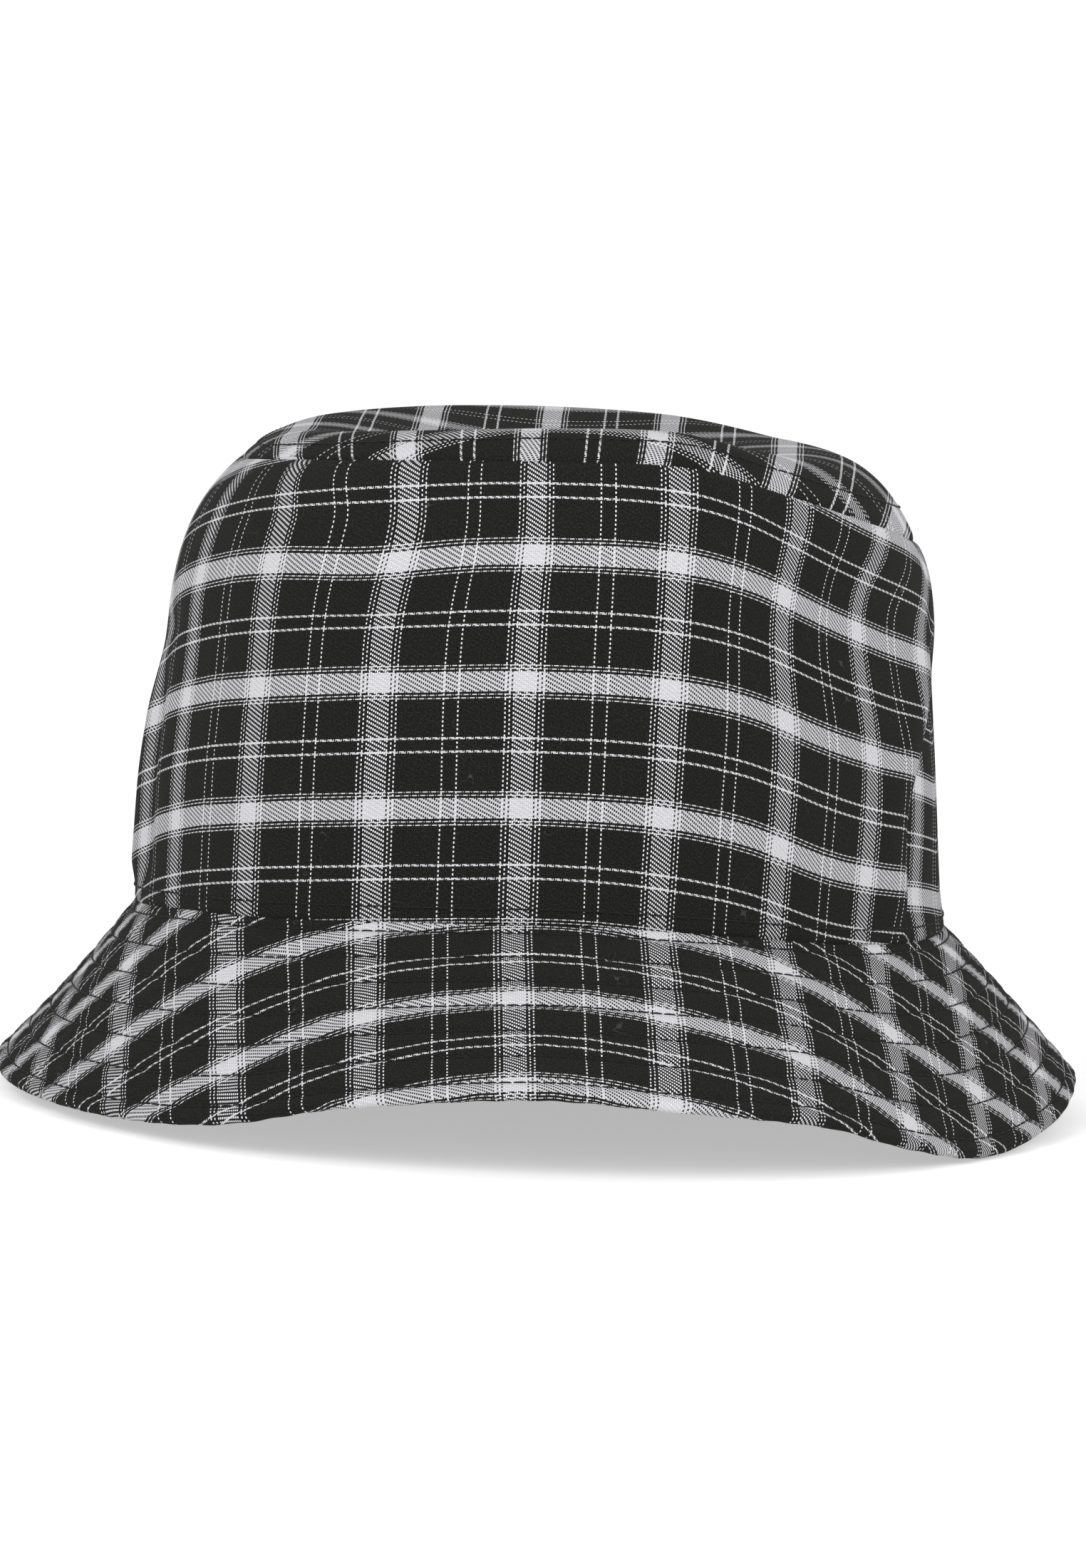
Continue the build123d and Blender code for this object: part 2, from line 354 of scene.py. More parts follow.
# Meshes ------------------------------------------------------------------------------------------------
def normals(points, closed=False):
    """Unit normals of a grid; its rows run round the hat and its columns upwards or inwards."""
    if closed:
        along = np.roll(points, -1, 0) - np.roll(points, 1, 0)
    else:
        along = np.gradient(points, axis=0)
    n = np.cross(along, np.gradient(points, axis=1))
    return n / np.maximum(np.linalg.norm(n, axis=-1, keepdims=True), 1e-12)


def new_object(name, vertices, faces, uv=None):
    """A smooth mesh object, with its cloth coordinates in metres. Vertices and uv are in millimetres."""
    mesh = bpy.data.meshes.new(name)
    mesh.from_pydata((vertices * MM).tolist(), [], faces)
    if uv is not None:
        corners = np.empty(len(mesh.loops), np.int32)
        mesh.loops.foreach_get("vertex_index", corners)
        layer = mesh.uv_layers.new(name="cloth")
        layer.data.foreach_set("uv", (uv[corners] * MM).astype(np.float32).ravel())
    mesh.polygons.foreach_set("use_smooth", np.ones(len(mesh.polygons), bool))
    mesh.set_sharp_from_angle(angle=radians(50))
    mesh.validate()
    obj = bpy.data.objects.new(name, mesh)
    bpy.context.scene.collection.objects.link(obj)
    return obj


def shell(name, points, thickness, uv, closed=False, capped=False):
    """A closed thin solid: points is the grid of its outer face, and its inner face lies thickness
    beneath. A closed grid joins its last row to its first, and a capped one ends in a middle point."""
    rows, columns = points.shape[:2]
    inner = points - normals(points, closed) * thickness
    vertices = np.concatenate([points.reshape(-1, 3), inner.reshape(-1, 3)])
    uvs = np.concatenate([uv.reshape(-1, 2)] * 2)
    count = rows * columns
    at = np.arange(count).reshape(rows, columns)
    if closed:
        at = np.concatenate([at, at[:1]])
    a, b, c, d = at[:-1, :-1], at[1:, :-1], at[1:, 1:], at[:-1, 1:]
    faces = [np.stack([a, b, c, d], -1).reshape(-1, 4), np.stack([d, c, b, a], -1).reshape(-1, 4) + count]

    def rim(line):
        faces.append(np.stack([line[1:], line[:-1], line[:-1] + count, line[1:] + count], -1))

    rim(at[:, 0])
    if not capped:
        rim(at[::-1, -1])
    if not closed:
        rim(at[0, ::-1])
        rim(at[-1])
    faces = np.concatenate(faces).tolist()
    if capped:
        middle = [points[:, -1].mean(0), inner[:, -1].mean(0)]
        vertices = np.concatenate([vertices, middle])
        uvs = np.concatenate([uvs, [uv[:, -1].mean(0)] * 2])
        ring = at[:, -1]
        faces += [[int(m), int(n), 2 * count] for m, n in zip(ring[:-1], ring[1:])]
        faces += [[int(n) + count, int(m) + count, 2 * count + 1] for m, n in zip(ring[:-1], ring[1:])]
    return new_object(name, vertices, faces, uvs)


STITCH = 3.0
STITCH_SHARE = 0.86
STITCH_SIDES = 6
# One stitch from end to end: how far along it is, and how high it stands in threads
STITCH_ARCH = np.array([(0.0, -0.42), (0.12, 0.12), (0.5, 0.34), (0.88, 0.12), (1.0, -0.42)])


def stitches(name, rows):
    """Rows of thread. Each row is (points, up): a fine line of points that the thread lies on, and the
    direction away from the cloth at each. Every stitch rises from the cloth and dips back into it."""
    around_thread = np.arange(STITCH_SIDES) * 2 * pi / STITCH_SIDES
    vertices, faces = [], []
    start = 0
    for points, up in rows:
        length = np.concatenate([[0], np.cumsum(np.linalg.norm(np.diff(points, axis=0), axis=1))])
        count = int(length[-1] / STITCH)
        pitch = length[-1] / count
        at = (np.arange(count)[:, None] + 0.5 + (STITCH_ARCH[:, 0] - 0.5) * STITCH_SHARE) * pitch
        line = np.stack([np.interp(at, length, points[:, k]) for k in range(3)], -1)
        away = np.stack([np.interp(at, length, up[:, k]) for k in range(3)], -1)
        away /= np.linalg.norm(away, axis=-1, keepdims=True)
        line += away * (STITCH_ARCH[:, 1] * THREAD)[None, :, None]
        ahead = np.gradient(line, axis=1)
        side = np.cross(ahead, away)
        side /= np.linalg.norm(side, axis=-1, keepdims=True)
        rise = np.cross(side, ahead)
        rise /= np.linalg.norm(rise, axis=-1, keepdims=True)
        ring = (line[:, :, None] + THREAD / 2 * (side[:, :, None] * np.cos(around_thread)[:, None]
                                                 + rise[:, :, None] * np.sin(around_thread)[:, None]))
        vertices.append(ring.reshape(-1, 3))
        stations = len(STITCH_ARCH)
        index = start + np.arange(count * stations * STITCH_SIDES).reshape(count, stations, STITCH_SIDES)
        after = np.roll(index, -1, 2)
        sides = np.stack([index[:, :-1], after[:, :-1], after[:, 1:], index[:, 1:]], -1)
        faces += sides.reshape(-1, 4).tolist()
        faces += index[:, 0, ::-1].tolist() + index[:, -1].tolist()
        start += count * stations * STITCH_SIDES
    return new_object(name, np.concatenate(vertices), faces)


# Materials ---------------------------------------------------------------------------------------------
class Shader:
    """A material that is built up from nodes by short calls. Values are numbers or node outputs."""

    def __init__(self, name, roughness, specular, sheen=0.0, sheen_roughness=0.5):
        self.material = bpy.data.materials.new(name)
        self.material.use_nodes = True
        self.nodes = self.material.node_tree.nodes
        self.links = self.material.node_tree.links
        self.surface = self.nodes["Principled BSDF"]
        self.surface.inputs["Roughness"].default_value = roughness
        self.surface.inputs["Specular IOR Level"].default_value = specular
        self.surface.inputs["Sheen Weight"].default_value = sheen
        self.surface.inputs["Sheen Roughness"].default_value = sheen_roughness

    def put(self, socket, value):
        if isinstance(value, bpy.types.NodeSocket):
            self.links.new(value, socket)
        else:
            socket.default_value = value

    def math(self, operation, *values):
        node = self.nodes.new("ShaderNodeMath")
        node.operation = operation
        for socket, value in zip(node.inputs, values):
            self.put(socket, value)
        return node.outputs[0]

    def add(self, a, b):
        return self.math("ADD", a, b)

    def times(self, a, b):
        return self.math("MULTIPLY", a, b)

    def cloth(self):
        """The cloth coordinates together, and then u and v."""
        node = self.nodes.new("ShaderNodeUVMap")
        node.uv_map = "cloth"
        split = self.nodes.new("ShaderNodeSeparateXYZ")
        self.put(split.inputs[0], node.outputs[0])
        return node.outputs[0], split.outputs[0], split.outputs[1]

    def noise(self, vector, scale, detail=2.0, roughness=0.5):
        node = self.nodes.new("ShaderNodeTexNoise")
        self.put(node.inputs["Vector"], vector)
        self.put(node.inputs["Scale"], scale)
        self.put(node.inputs["Detail"], detail)
        self.put(node.inputs["Roughness"], roughness)
        return node.outputs[0]

    def random(self, value):
        node = self.nodes.new("ShaderNodeTexWhiteNoise")
        node.noise_dimensions = "1D"
        self.put(node.inputs["W"], value)
        return node.outputs[0]

    def place(self):
        node = self.nodes.new("ShaderNodeTexCoord")
        return node.outputs["Object"]

    def choose(self, factor, a, b):
        """The value a where the factor is 1 and b where it's 0."""
        return self.add(self.times(factor, a), self.times(self.math("SUBTRACT", 1.0, factor), b))

    def mix(self, factor, a, b):
        """The colour a where the factor is 0 and b where it's 1."""
        node = self.nodes.new("ShaderNodeMix")
        node.data_type = "RGBA"
        self.put(node.inputs[0], factor)
        self.put(node.inputs[6], a)
        self.put(node.inputs[7], b)
        return node.outputs[2]

    def sequence(self, index, runs):
        """1 where this yarn is white and 0 where it's black; runs are (white, how many yarns)."""
        total = sum(count for _, count in runs)
        node = self.nodes.new("ShaderNodeValToRGB")
        node.color_ramp.interpolation = "CONSTANT"
        turn = self.math("DIVIDE", self.add(self.math("FLOORED_MODULO", index, total), 0.5), total)
        self.put(node.inputs[0], turn)
        stops = node.color_ramp.elements
        at = 0
        for k, (white, count) in enumerate(runs):
            stop = stops[k] if k < 2 else stops.new(at / total)
            stop.position = at / total
            stop.color = (white, white, white, 1)
            at += count
        return node.outputs[0]

    def bump(self, height, distance, strength=1.0, under=None):
        node = self.nodes.new("ShaderNodeBump")
        self.put(node.inputs["Height"], height)
        self.put(node.inputs["Distance"], distance)
        self.put(node.inputs["Strength"], strength)
        if under is not None:
            self.put(node.inputs["Normal"], under)
        return node.outputs[0]

    def colour(self, value):
        self.put(self.surface.inputs["Base Color"], value)

    def normal(self, value):
        self.put(self.surface.inputs["Normal"], value)


# The part of its pitch that an upright yarn fills
UPRIGHT_WIDTH = 0.68


def twill(shader, u, v, upright_pitch, cross_pitch, wander):
    """A 2/2 twill, whose upright yarns are slimmer than their pitch, so that the cross yarns show between
    them. Gives the yarn numbers, whether the upright yarn is on top, and the yarn's height. wander is
    how far the yarns stray."""
    vector = shader.cloth()[0]
    u = shader.add(u, shader.times(shader.add(shader.noise(vector, 55.0), -0.5), wander))
    v = shader.add(v, shader.times(shader.add(shader.noise(vector, 47.0), -0.5), wander))
    across = shader.math("DIVIDE", u, upright_pitch)
    along = shader.math("DIVIDE", v, cross_pitch)
    i, j = shader.math("FLOOR", across), shader.math("FLOOR", along)
    on_top = shader.math("LESS_THAN", shader.math("FLOORED_MODULO", shader.add(i, j), 4.0), 2.0)
    from_middle = shader.math("ABSOLUTE", shader.add(shader.math("FRACT", across), -0.5))
    on_top = shader.times(on_top, shader.math("LESS_THAN", from_middle, UPRIGHT_WIDTH / 2))

    def arch(value):
        centred = shader.add(shader.times(value, 2.0), -1.0)
        return shader.math("SUBTRACT", 1.0, shader.times(centred, centred))

    def float_arch(value):
        squared = shader.math("SUBTRACT", 1.0, arch(value))
        return shader.math("SUBTRACT", 1.0, shader.times(shader.times(squared, squared), 0.7))

    def half(value):
        return shader.math("FRACT", shader.times(value, 0.5))

    upright = shader.times(arch(shader.math("FRACT", across)), float_arch(half(shader.add(i, along))))
    cross = shader.times(arch(shader.math("FRACT", along)), float_arch(half(shader.add(across, j))))
    return i, j, on_top, shader.choose(on_top, upright, cross)


def crossing_tone(shader, i, j):
    """A random number for each crossing of two yarns."""
    return shader.random(shader.add(shader.times(i, 1.37), shader.times(j, 7.91)))


# The yarns of one repeat of the plaid, as (white, how many) runs, and the middle of its widest white run
UPRIGHT_YARNS = [(1, 1), (0, 1), (1, 1), (0, 1), (1, 11), (0, 1), (1, 1), (0, 1), (1, 1), (0, 22), (1, 1),
                 (0, 6), (1, 1), (0, 21)]
CROSS_YARNS = [(1, 18), (0, 2), (1, 1), (0, 2), (1, 1), (0, 34), (1, 2), (0, 10), (1, 2), (0, 34), (1, 1),
               (0, 2), (1, 1), (0, 2)]
UPRIGHT_MIDDLE = 9.5
CROSS_MIDDLE = 9.0
WHITE_IN_SHADE = (0.16, 0.16, 0.165, 1)
WHITE = (0.75, 0.74, 0.77, 1)
BLACK = (0.0038, 0.0040, 0.0031, 1)
# The pale colour of the lint, which also serves for the painted highlight on the black yarns' tops
LINT_AND_HIGHLIGHT = (0.22, 0.22, 0.205, 1)
LINT_WIDTH = 0.0012
LINT_SHARE = 0.14


def plaid(name, stripe_at, band_at):
    """The plaid, with the middle of a white stripe at u = stripe_at and of a white band at v = band_at."""
    shader = Shader(name, roughness=0.95, specular=0.06, sheen=0.015, sheen_roughness=0.6)
    vector, u, v = shader.cloth()
    upright_pitch = STRIPE_PITCH / sum(count for _, count in UPRIGHT_YARNS) * MM
    cross_pitch = BAND_PITCH / sum(count for _, count in CROSS_YARNS) * MM
    u = shader.add(u, UPRIGHT_MIDDLE * upright_pitch - stripe_at * MM)
    v = shader.add(v, CROSS_MIDDLE * cross_pitch - band_at * MM)
    i, j, on_top, height = twill(shader, u, v, upright_pitch, cross_pitch, wander=0.5 * MM)
    upright_white = shader.sequence(i, UPRIGHT_YARNS)
    cross_white = shader.sequence(j, CROSS_YARNS)
    white = shader.choose(on_top, upright_white, cross_white)
    # Yarns differ a little, and the white ones are shaded where they dip.
    yarn = crossing_tone(shader, i, j)
    shade = shader.add(shader.times(height, 0.55), shader.add(shader.times(yarn, 0.1), 0.32))
    pale = shader.mix(shade, WHITE_IN_SHADE, WHITE)
    # The black ones are brushed, and a few pale hairs lie across them. They are painted lighter on their
    # raised tops, a painted highlight, and the brushing shows less where they dip, a painted shade.
    fuzz = shader.noise(vector, 2600.0, detail=3.0, roughness=0.7)
    brushed_and_highlit = shader.math("MAXIMUM", shader.math("MULTIPLY_ADD", fuzz, 0.36, -0.16), 0.0)
    # Painted highlight: the brushing grows with the yarn's height, and a little more is added on the raised
    # tops.
    brushed_and_highlit = shader.add(shader.times(brushed_and_highlit, shader.add(height, 0.3)), shader.times(height, 0.03))
    hair = shader.math("ABSOLUTE", shader.add(shader.noise(vector, 130.0, detail=1.0), -0.5))
    hair = shader.math("LESS_THAN", hair, LINT_WIDTH)
    place = shader.math("GREATER_THAN", shader.noise(vector, 75.0, detail=1.0), 0.56)
    lint_and_highlight = shader.add(brushed_and_highlit, shader.times(shader.times(hair, place), LINT_SHARE))
    lint_and_highlight = shader.math("MINIMUM", lint_and_highlight, 1.0)
    dark = shader.mix(lint_and_highlight, BLACK, LINT_AND_HIGHLIGHT)
    shader.colour(shader.mix(white, dark, pale))
    rough = shader.bump(shader.noise(vector, 900.0, detail=2.0), 0.08 * MM, 0.5)
    shader.normal(shader.bump(height, 0.11 * MM, 0.9, rough))
    return shader.material


def plain_twill(name, colour, lighter, upright_pitch, cross_pitch, depth):
    """A one-colour twill, whose yarns differ a little in tone at random, with painted shade where they dip
    and a painted highlight on their raised tops.
    """
    shader = Shader(name, roughness=0.85, specular=0.25, sheen=0.2)
    vector, u, v = shader.cloth()
    i, j, on_top, height = twill(shader, u, v, upright_pitch * MM, cross_pitch * MM, wander=0.3 * MM)
    yarn = crossing_tone(shader, i, j)
    # Painted light and shade: the yarns' height makes their tops lighter and their dips darker.
    tone = shader.add(shader.times(yarn, 0.35), shader.times(height, 0.35))
    tone = shader.add(tone, shader.times(shader.noise(vector, 180.0, detail=3.0), 0.3))
    shader.colour(shader.mix(tone, colour, lighter))
    shader.normal(shader.bump(height, depth * MM, 0.9))
    return shader.material


def thread_material():
    """Spun thread: its plies show as a fine twist, painted as light and dark bands with painted shade between
    the plies, and its fibres differ a little in tone.
    """
    shader = Shader("black_thread", roughness=0.7, specular=0.12, sheen=0.02)
    place = shader.place()
    wave = shader.nodes.new("ShaderNodeTexWave")
    wave.bands_direction = "DIAGONAL"
    shader.put(wave.inputs["Vector"], place)
    shader.put(wave.inputs["Scale"], 900.0)
    shader.put(wave.inputs["Distortion"], 2.0)
    # Painted shade: the wave of the twist darkens the thread between its plies; the noise is tone that
    # differs at random.
    tone = shader.add(shader.times(wave.outputs[1], 0.5), shader.times(shader.noise(place, 1500.0), 0.5))
    shader.colour(shader.mix(tone, (0.004, 0.004, 0.004, 1), (0.02, 0.02, 0.0195, 1)))
    shader.normal(shader.bump(wave.outputs[1], 0.05 * MM, 0.7))
    return shader.material


def felt_material():
    """Non-woven interlining: pale bonded fibres with pressed dots."""
    shader = Shader("interlining", roughness=0.95, specular=0.2)
    vector = shader.cloth()[0]
    fibre = shader.noise(vector, 2200.0, detail=4.0, roughness=0.75)
    shader.colour(shader.mix(fibre, (0.6, 0.59, 0.55, 1), (0.86, 0.85, 0.81, 1)))
    dots = shader.nodes.new("ShaderNodeTexVoronoi")
    shader.put(dots.inputs["Vector"], vector)
    shader.put(dots.inputs["Scale"], 700.0)
    under = shader.bump(dots.outputs[0], 0.15 * MM, 0.6)
    shader.normal(shader.bump(fibre, 0.12 * MM, 0.7, under))
    return shader.material


def satin_material():
    """Plain satin, closely woven."""
    shader = Shader("label_satin", roughness=0.42, specular=0.45, sheen=0.15)
    vector, u, v = shader.cloth()
    line = shader.math("SINE", shader.times(u, 2 * pi / (0.22 * MM)))
    cross = shader.math("SINE", shader.times(v, 2 * pi / (0.35 * MM)))
    weave = shader.times(shader.add(line, 1.0), shader.math("MULTIPLY_ADD", cross, 0.2, 0.8))
    slub = shader.noise(vector, 400.0, detail=3.0)
    # Painted shade: the woven lines are lighter on their crests and darker between them; the slubs are tone
    # that differs at random.
    tone = shader.add(shader.times(weave, 0.3), shader.times(slub, 0.5))
    shader.colour(shader.mix(tone, (0.72, 0.72, 0.69, 1), (0.86, 0.86, 0.84, 1)))
    shader.normal(shader.bump(weave, 0.05 * MM, 0.6))
    return shader.material


WALL_PLAID = plaid("plaid_crown", STRIPE_AT, WALL_BAND_AT)
BRIM_PLAID = plaid("plaid_brim", STRIPE_AT, BRIM_BAND_AT)
TIP_PLAID = plaid("plaid_tip", TIP_STRIPE_AT, TIP_BAND_AT)
BAND_TWILL = plain_twill("sweatband_cotton", (0.012, 0.012, 0.0125, 1), (0.03, 0.03, 0.031, 1),
                         upright_pitch=0.5, cross_pitch=0.4, depth=0.12)
TAPE_TWILL = plain_twill("seam_tape", (0.014, 0.014, 0.0145, 1), (0.036, 0.036, 0.037, 1),
                         upright_pitch=0.7, cross_pitch=0.5, depth=0.14)
FELT = felt_material()
SATIN = satin_material()
THREAD_BLACK = thread_material()

# Pieces ------------------------------------------------------------------------------------------------
HALVES = {"front": 0, "back": 180}


def stand_for(obj, node, material, body="hat"):
    """Finishes a piece: it takes the place of a CAD node and rides on that node's body."""
    obj.data.materials.append(material)
    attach(obj, body)
    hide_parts(node)


def half_round(middle, count):
    """The angles of one half of the hat, as a column."""
    return np.linspace(middle - 90, middle + 90, count)[:, None]


def wall_surface(p, t):
    """The wall with its two seams: the cloth rolls in over the last millimetre at each."""
    points = wall(p, t)
    low = np.clip(1 - t * WALL_HEIGHT / SEAM_ROLL, 0, 1)
    high = np.clip(1 - (1 - t) * WALL_HEIGHT / SEAM_ROLL, 0, 1)
    return points - outward(p) * (BASE_TUCK * low**2 + SEAM_TUCK * high**2)[..., None]


def crown_sides():
    """The two halves of the crown's wall, each cut flat as an arc of a wide ring."""
    heights = np.concatenate([np.linspace(0, 0.02, 5)[:-1], np.linspace(0.02, 0.975, 92),
                              np.linspace(0.975, 1, 8)[1:]])
    for place, middle in HALVES.items():
        p, t = np.broadcast_arrays(half_round(middle, 361), heights[None, :])
        obj = shell(f"crown_side_{place}_cloth", wall_surface(p, t), CLOTH, wall_cloth(p, t, middle))
        stand_for(obj, f"crown_side_{place}", WALL_PLAID)


def crown_tip():
    """The oval top panel, with its soft rim and its seam allowance."""
    p = np.linspace(-180, 180, 481)[:-1, None]
    rho = np.concatenate([np.linspace(1, 0.96, 10)[:-1], np.linspace(0.96, 0.5, 50)[:-1],
                          np.linspace(0.5, 0.01, 30)])[None, :]
    p, rho = np.broadcast_arrays(p, rho)
    roll = np.clip(1 - (1 - rho) * HALF_WIDTH / SEAM_ROLL, 0, 1) ** 2
    points = tip(p, rho) - outward(p) * (SEAM_TUCK * roll)[..., None]
    cloth = tip_cloth(points, p)
    # The seam allowance turns down inside the wall.
    down = np.linspace(TIP_ALLOWANCE, TIP_ALLOWANCE_START, 5)[None, :]
    inside = wall(p[:, :1], 1 - down / WALL_HEIGHT) - outward(p[:, :1]) * (SEAM_TUCK + CLOTH + GAP)
    points = np.concatenate([inside, points], 1)
    out = cloth[:, :1] - cloth[:, 1:2]
    out /= np.linalg.norm(out, axis=-1, keepdims=True)
    cloth = np.concatenate([cloth[:, :1] + out * (down + TIP_BEND)[..., None], cloth], 1)
    obj = shell("crown_tip_cloth", points, CLOTH, cloth, closed=True, capped=True)
    stand_for(obj, "crown_tip", TIP_PLAID)


# The whole thickness of the brim, and the share of its width that its two lower layers fill
BRIM_DEPTH = 2 * CLOTH + STIFFENER + 4 * GAP
LOWER_LAYERS_REACH = 0.97
ALLOWANCE_HEIGHTS = np.linspace(ALLOWANCE_START, SEAM_ALLOWANCE, 9)


def quilted(p, t):
    """How far the brim's cloth is pulled in along its rows of stitching, with small puckers between."""
    distance = t * SLANT
    length = seam_length(p)
    groove = sum(hump(distance, row, GROOVE_WIDTH) for row in ROWS)
    ripple = np.sin(length * 0.9 + 2.1 * np.sin(distance * 0.8) + 1.3 * np.sin(length * 0.17))
    on_row = np.cos(np.pi * (distance - FIRST_ROW) / ROW_PITCH) ** 2
    return GROOVE_DEPTH * groove - PUCKER * ripple * (1 - on_row) * step(distance, 1, 6)


def brim_half(middle, along):
    """One half of the brim: its angles, its places from seam to edge, its upper face, and the direction
    away from that face."""
    p, t = np.broadcast_arrays(half_round(middle, 301), along[None, :])
    face = brim(p, t)
    return p, t, face, -normals(face[:, ::-1])[:, ::-1]


def allowance(p, depth):
    """The seam allowance of the brim, which stands up inside the crown's wall."""
    return wall(p[:, :1], ALLOWANCE_HEIGHTS[None, :] / WALL_HEIGHT) - outward(p[:, :1]) * depth


def brim_top(place, middle):
    """The upper cloth of one half: hem, rolled edge, quilted face and seam allowance."""
    p, t, face, up = brim_half(middle, np.linspace(1, 0, 110))
    upper = face - up * (quilted(p, t) + 2 * GAP)[..., None]
    # The cloth turns over the edge and stops a little way back underneath.
    out = upper[:, :1] - upper[:, 1:2]
    out /= np.linalg.norm(out, axis=-1, keepdims=True)
    turn = np.linspace(pi, 0, 11)[:-1]
    centre = upper[:, :1] - up[:, :1] * BRIM_DEPTH / 2
    rolled = centre + BRIM_DEPTH / 2 * (up[:, :1] * np.cos(turn)[:, None] + out * np.sin(turn)[:, None])
    behind = np.linspace(HEM, HEM_START, 4)
    hem = rolled[:, :1] - out * behind[:, None]
    points = np.concatenate([hem, rolled, upper, allowance(p, CLOTH + GAP)], 1)
    past = np.concatenate([pi * BRIM_DEPTH / 2 + behind, turn * BRIM_DEPTH / 2])
    places = np.concatenate([1 + past / SLANT, t[0], -ALLOWANCE_HEIGHTS / SLANT])
    obj = shell(f"brim_top_{place}_cloth", points, CLOTH, brim_cloth(p[:, :1], places[None, :], middle))
    stand_for(obj, f"brim_top_{place}", BRIM_PLAID)


def brim_lower_layers(place, middle):
    """The stiffener and the lower cloth, which both stop inside the rolled edge."""
    p, t, face, up = brim_half(middle, np.linspace(LOWER_LAYERS_REACH, 0, 100))
    felt = face - up * (FELT_FOLLOWS * quilted(p, t) + 3 * GAP + CLOTH)[..., None]
    obj = shell(f"brim_stiffener_{place}_felt", felt, STIFFENER, brim_cloth(p, t, middle))
    stand_for(obj, f"brim_stiffener_{place}", FELT)

    under = face - up * (BRIM_DEPTH - CLOTH - UNDER_PULLED * quilted(p, t))[..., None]
    points = np.concatenate([under, allowance(p, 2 * CLOTH + 2 * GAP)], 1)
    places = np.concatenate([t[0], -ALLOWANCE_HEIGHTS / SLANT])
    obj = shell(f"brim_under_{place}_cloth", points, CLOTH, brim_cloth(p[:, :1], places[None, :], middle))
    stand_for(obj, f"brim_under_{place}", BRIM_PLAID)


crown_sides()
crown_tip()
for place, middle in HALVES.items():
    brim_top(place, middle)
    brim_lower_layers(place, middle)

# Inner trim --------------------------------------------------------------------------------------------
BAND_DEPTH = 3 * CLOTH + 5 * GAP
BAND_FOOT = 1.0
# The tapes' edges are shares of the wall's height, and SIDE_TAPE_FOOT is in millimetres up the wall.
# TIP_SEAM_SHARE is the length of the tip seam as a share of the brim seam's.
TIP_TAPE_LOW = 0.87
TIP_TAPE_HIGH = 0.97
SIDE_TAPE_FOOT = 35
SIDE_TAPE_HIGH = 0.86
SIDE_TAPE_HALF_ANGLE = 3.4


def level(height):
    """A height up the wall's cloth as a share of the whole wall."""
    return height / WALL_HEIGHT


def strip(name, p, low, high, depth, thickness, material, node):
    """A strip of cloth along the inside of the crown's wall, between two levels."""
    p, t = np.broadcast_arrays(p, np.linspace(low, high, 28)[None, :])
    points = wall(p, t) - outward(p) * depth
    obj = shell(name, points, thickness, np.stack([seam_length(p), t * WALL_HEIGHT], -1))
    stand_for(obj, node, material)


def inner_trim():
    """The sweatband, and the tapes over the tip seam and the side seams."""
    whole_round = np.linspace(180.15, 539.85, 541)[:, None]
    strip("sweatband_cloth", whole_round, level(BAND_FOOT), level(BAND_FOOT + BAND_HEIGHT), BAND_DEPTH, BAND,
          BAND_TWILL, "sweatband")
    strip("tip_seam_tape_cloth", whole_round, TIP_TAPE_LOW, TIP_TAPE_HIGH, CLOTH + GAP, TAPE,
          TAPE_TWILL, "tip_seam_tape")
    for side, middle in (("right", 90), ("left", 270)):
        p = np.linspace(middle - SIDE_TAPE_HALF_ANGLE, middle + SIDE_TAPE_HALF_ANGLE, 15)[:, None]
        strip(f"{side}_seam_tape_cloth", p, level(SIDE_TAPE_FOOT), SIDE_TAPE_HIGH, CLOTH + 3 * GAP, TAPE,
              TAPE_TWILL, f"{side}_seam_tape")


LABEL_WIDTH = 22
LABEL_LENGTH = 28
LABEL_THICKNESS = 0.3
LABEL_LEAN = radians(9)
LABEL_CURL = 0.35


def care_label():
    """A blank label whose folded edge is sewn into the right side seam. It swings like a page."""
    across = np.linspace(0, LABEL_WIDTH, 23)[:, None]
    up = np.linspace(LABEL_LOW, LABEL_HIGH, 29)[None, :]
    across, up = np.broadcast_arrays(across, up)
    curl = LABEL_CURL * np.sin(across / LABEL_WIDTH * pi) * np.cos((up - LABEL_LOW) / LABEL_LENGTH * pi)
    x = LABEL_X - across * sin(LABEL_LEAN) - curl + LABEL_THICKNESS / 2
    points = np.stack([x, across * cos(LABEL_LEAN), up], -1)
    obj = shell("care_label_satin", points, LABEL_THICKNESS, np.stack([across, up], -1))
    stand_for(obj, "care_label", SATIN, body="label")


inner_trim()
care_label()

# Thread ------------------------------------------------------------------------------------------------
# The angles along a row of thread, and the small steps that give the slope of the cloth beside it
FINE = np.linspace(-180, 180, 1441)
NEAR = 0.4
TIP_NEAR = 0.005
# How high a thread lies over the crown's cloth, and how much higher than the brim's faces its rows lie:
# a little over the upper face, and a little inside the lower one
THREAD_LIFT = 0.04
BRIM_ROW_RISE = 0.1 * THREAD
# Where the other rows run, in millimetres up the wall or as the tip's rho
TOPSTITCH_HEIGHT = 3.4
TIP_STITCH_AT = 0.95
BAND_STITCH_HEIGHT = 4.0


def on_surface(surface, place, nudge, lift):
    """A line round a surface and the direction away from it. place is the surface's other number on the
    line, and nudge is a small change to it that goes upwards or inwards."""
    grid = surface(*np.broadcast_arrays(FINE[:, None], place + nudge * np.array([[-1, 0, 1]])))
    up = normals(grid)[:, 1]
    return grid[:, 1] + up * lift, up


def brim_row(distance, below):
    """A row of stitching on the brim's upper face or, from below, on its lower one."""
    line, up = on_surface(brim, distance / SLANT, -NEAR / SLANT, lift=0.0)
    groove = quilted(FINE, distance / SLANT)
    if below:
        return line - up * (BRIM_DEPTH - UNDER_PULLED * groove - BRIM_ROW_RISE)[:, None], -up
    return line - up * (groove + 2 * GAP - BRIM_ROW_RISE)[:, None], up


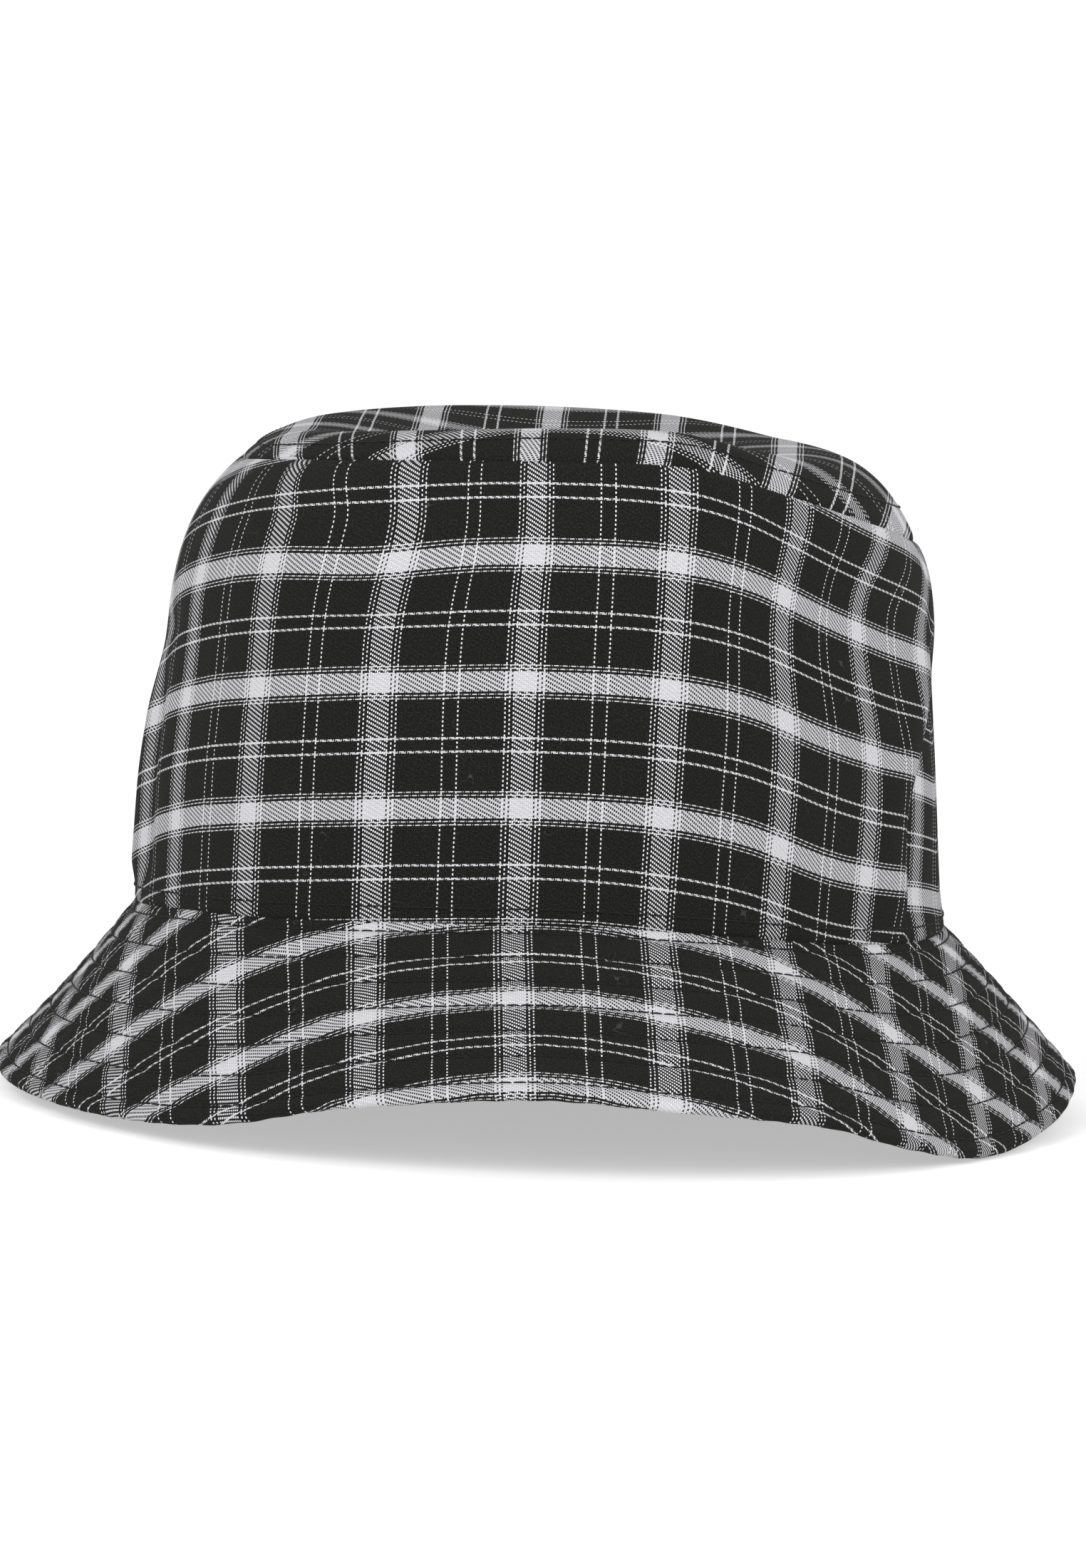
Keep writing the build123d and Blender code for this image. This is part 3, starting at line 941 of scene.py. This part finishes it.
def sew(node, rows):
    """The rows of thread that stand for one CAD node."""
    obj = stitches(f"{node}_thread", rows)
    stand_for(obj, node, THREAD_BLACK)


for number, distance in enumerate(ROWS, 1):
    sew(f"brim_stitch_row_{number}", [brim_row(distance, False), brim_row(distance, True)])
sew("crown_base_topstitch", [on_surface(wall, level(TOPSTITCH_HEIGHT), level(NEAR), lift=THREAD_LIFT)])
sew("tip_topstitch", [on_surface(tip, TIP_STITCH_AT, -TIP_NEAR, lift=THREAD_LIFT)])
band_line, band_up = on_surface(wall, level(BAND_STITCH_HEIGHT), level(NEAR),
                                lift=-BAND_DEPTH - BAND - THREAD_LIFT)
sew("sweatband_stitch", [(band_line, -band_up)])

# Stage, light and camera -------------------------------------------------------------------------------


# The floor lies this far under the ground, in metres, and the paper glows a little, as painted light, so that
# it is white even in the hat's shadow and lights the hat from below.
FLOOR_DROP = 0.0002
COVE_GLOW = 0.45


def cove():
    """A pale floor that curves up into a backdrop behind the hat."""
    turn = np.linspace(0, pi / 2, 24)
    bend = 800.0
    reach = 3800.0
    side = 3800.0
    y = np.concatenate([[-side], reach + bend * np.sin(turn), [reach + bend]])
    z = np.concatenate([[0], bend * (1 - np.cos(turn)), [side]])
    vertices = np.array([(x, a, b) for x in (-side, side) for a, b in zip(y, z)])
    n = len(y)
    obj = new_object("cove", vertices, [(k, k + n, k + n + 1, k + 1) for k in range(n - 1)])
    obj.location.z = -FLOOR_DROP
    shader = Shader("cove_paper", roughness=0.9, specular=0.1)
    # Painted light: the paper glows, though it is no lamp.
    shader.surface.inputs["Emission Color"].default_value = (1, 1, 1, 1)
    shader.surface.inputs["Emission Strength"].default_value = COVE_GLOW
    grain = shader.noise(shader.place(), 90.0)
    shader.colour(shader.mix(grain, (0.62, 0.62, 0.62, 1), (0.65, 0.65, 0.65, 1)))
    obj.data.materials.append(shader.material)


HAT_MIDDLE = Vector((0, 0, 0.08))


def lamp(name, size, power, place):
    """A round soft lamp that points at the middle of the hat."""
    data = bpy.data.lights.new(name, "AREA")
    data.shape = "DISK"
    data.size = size
    data.energy = power
    obj = bpy.data.objects.new(name, data)
    bpy.context.scene.collection.objects.link(obj)
    obj.location = place
    obj.rotation_euler = (HAT_MIDDLE - Vector(place)).to_track_quat("-Z", "Y").to_euler()


# Lengths for the camera are in metres. VIEW_HEIGHT is what the frame's long side shows at the hat.
CAMERA_DISTANCE = 1.75
CAMERA_ELEVATION = radians(5)
CAMERA_ROLL = radians(2.3)
CAMERA_TARGET = Vector((0, 0, 0.0681))
VIEW_HEIGHT = 0.3447


def camera():
    """The camera, in front of the hat, a little above it and rolled a little."""
    data = bpy.data.cameras.new("camera")
    data.sensor_width = 36
    data.lens = data.sensor_width * CAMERA_DISTANCE / VIEW_HEIGHT
    obj = bpy.data.objects.new("camera", data)
    bpy.context.scene.collection.objects.link(obj)
    back = Vector((0, -cos(CAMERA_ELEVATION), sin(CAMERA_ELEVATION)))
    turn = Matrix.Rotation(CAMERA_ROLL, 4, back) @ Matrix.Rotation(pi / 2 - CAMERA_ELEVATION, 4, "X")
    obj.matrix_world = Matrix.Translation(CAMERA_TARGET + back * CAMERA_DISTANCE) @ turn
    bpy.context.scene.camera = obj


def daylight(strength):
    """White light from all round."""
    world = bpy.data.worlds.new("studio")
    world.use_nodes = True
    world.node_tree.nodes["Background"].inputs[0].default_value = (1, 1, 1, 1)
    world.node_tree.nodes["Background"].inputs[1].default_value = strength
    bpy.context.scene.world = world


cove()
lamp("key", size=1.6, power=22, place=(-1.2, -1.4, 1.3))
lamp("fill", size=2.0, power=20, place=(1.4, -1.3, 0.9))
camera()
daylight(0.75)
bpy.context.scene.view_settings.view_transform = "Standard"
